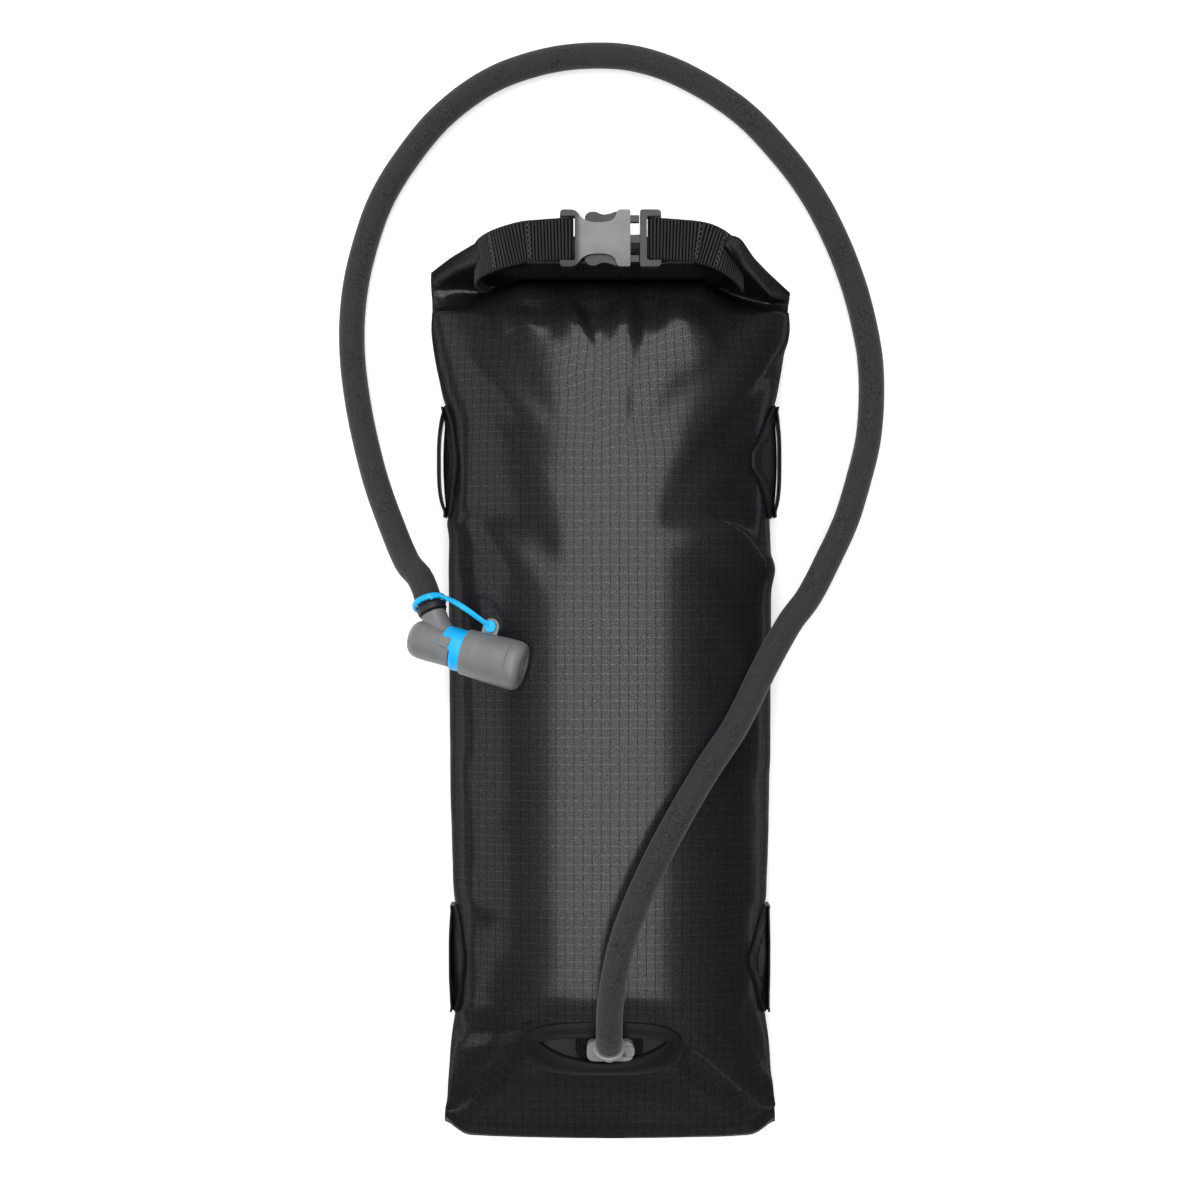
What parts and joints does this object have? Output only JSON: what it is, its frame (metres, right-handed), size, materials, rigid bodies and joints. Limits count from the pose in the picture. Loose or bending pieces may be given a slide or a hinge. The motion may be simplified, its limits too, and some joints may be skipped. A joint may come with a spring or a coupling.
{
  "type": "hydration bladder",
  "caption": "Insulated roll-top hydration reservoir lying full on its back, with a buckled carry loop, lash tabs, quick-release port, foam-covered hose and a capped elbow bite valve.",
  "frame": {"origin": "bottom centre of the bag, without its hose, where its back rests on the table", "axes": "+Y along the bag towards the roll-top, +Z out of the bag's front, through its thickness, +X to the right when the front is seen with the roll-top up"},
  "size_m": [0.2758, 0.5543, 0.0798],
  "materials": {
    "coated_fabric": "ripstop weave under a satin waterproof coating",
    "insulation_foam": "closed-cell foam sheet",
    "inner_plastic": "plain moulded plastic",
    "welded_rubber": "matt welded film",
    "reservoir_film": "translucent grey film, slightly glossy",
    "connector_grey": "smooth moulded plastic",
    "spring_steel": "bright wire",
    "seal_rubber": "matt",
    "hose_foam": "matt closed-cell foam with fine speckle",
    "drink_tube": "clear flexible tube",
    "valve_grey": "satin moulded plastic",
    "bite_silicone": "soft matt silicone",
    "accent_blue": "satin elastomer",
    "webbing": "ribbed woven tape",
    "buckle_black": "satin moulded plastic"
  },
  "bodies": {
    "sleeve": {"sleeve_front": "coated_fabric", "sleeve_back": "coated_fabric", "roll_top": "coated_fabric", "insulation_front": "insulation_foam", "insulation_back": "insulation_foam", "roll_stiffener": "inner_plastic", "reservoir_slide_bar": "inner_plastic", "port_patch": "welded_rubber", "port_flange": "welded_rubber", "reservoir": "reservoir_film", "port_socket": "connector_grey", "button_spring": "spring_steel", "webbing_left": "webbing", "webbing_right": "webbing", "buckle_female": "buckle_black", "lash_patch_left_upper": "welded_rubber", "lash_loop_left_upper": "welded_rubber", "lash_patch_left_lower": "welded_rubber", "lash_loop_left_lower": "welded_rubber", "lash_patch_right_upper": "welded_rubber", "lash_loop_right_upper": "welded_rubber", "lash_patch_right_lower": "welded_rubber", "lash_loop_right_lower": "welded_rubber"},
    "buckle_male": {"buckle_male": "buckle_black"},
    "buckle_arm_upper": {"buckle_arm_upper": "buckle_black"},
    "buckle_arm_lower": {"buckle_arm_lower": "buckle_black"},
    "release_button": {"release_button": "connector_grey"},
    "hose": {"quick_connect_plug": "connector_grey", "plug_o_ring": "seal_rubber", "drink_tube": "drink_tube", "tube_sleeve": "hose_foam", "tube_collar": "seal_rubber", "valve_elbow": "valve_grey", "cover_tether": "accent_blue"},
    "shutoff": {"shutoff_ring": "accent_blue", "bite_valve": "bite_silicone", "valve_o_ring": "seal_rubber"},
    "valve_cover": {"valve_cover": "valve_grey"}
  },
  "joints": [
    {"name": "buckle_release", "type": "slide", "parent": "sleeve", "child": "buckle_male", "axis": [1, 0, 0], "range_m": [0, 0.022], "deforming": ["webbing_right", "buckle_arm_upper", "buckle_arm_lower"]},
    {"name": "arm_upper_squeeze", "type": "hinge", "parent": "buckle_male", "child": "buckle_arm_upper", "pos_m": [0.0132, 0.2246, 0.075], "axis": [0, 0, 1], "range_deg": [0, 6], "stiffness_Nm_per_rad": 0.6},
    {"name": "arm_lower_squeeze", "type": "hinge", "parent": "buckle_male", "child": "buckle_arm_lower", "pos_m": [0.0132, 0.2054, 0.075], "axis": [0, 0, -1], "range_deg": [0, 6], "stiffness_Nm_per_rad": 0.6},
    {"name": "port_button", "type": "slide", "parent": "sleeve", "child": "release_button", "axis": [-1, 0, 0], "range_m": [0, 0.0015], "stiffness_N_per_m": 500, "deforming": ["button_spring"]},
    {"name": "hose_plug_slide", "type": "slide", "parent": "sleeve", "child": "hose", "axis": [-0.0004, -0.4183, 0.9083], "range_m": [0, 0.015]},
    {"name": "shutoff_twist", "type": "hinge", "parent": "hose", "child": "shutoff", "pos_m": [-0.097, 0.0259, 0.0568], "axis": [0.9465, -0.2534, 0.2], "range_deg": [0, 90]},
    {"name": "cover_slide", "type": "slide", "parent": "hose", "child": "valve_cover", "axis": [0.9465, -0.2534, 0.2], "range_m": [0, 0.03], "deforming": ["cover_tether"]}
  ],
  "couplings": [
    {"joint": "arm_lower_squeeze", "follows": "arm_upper_squeeze", "ratio": 1}
  ]
}
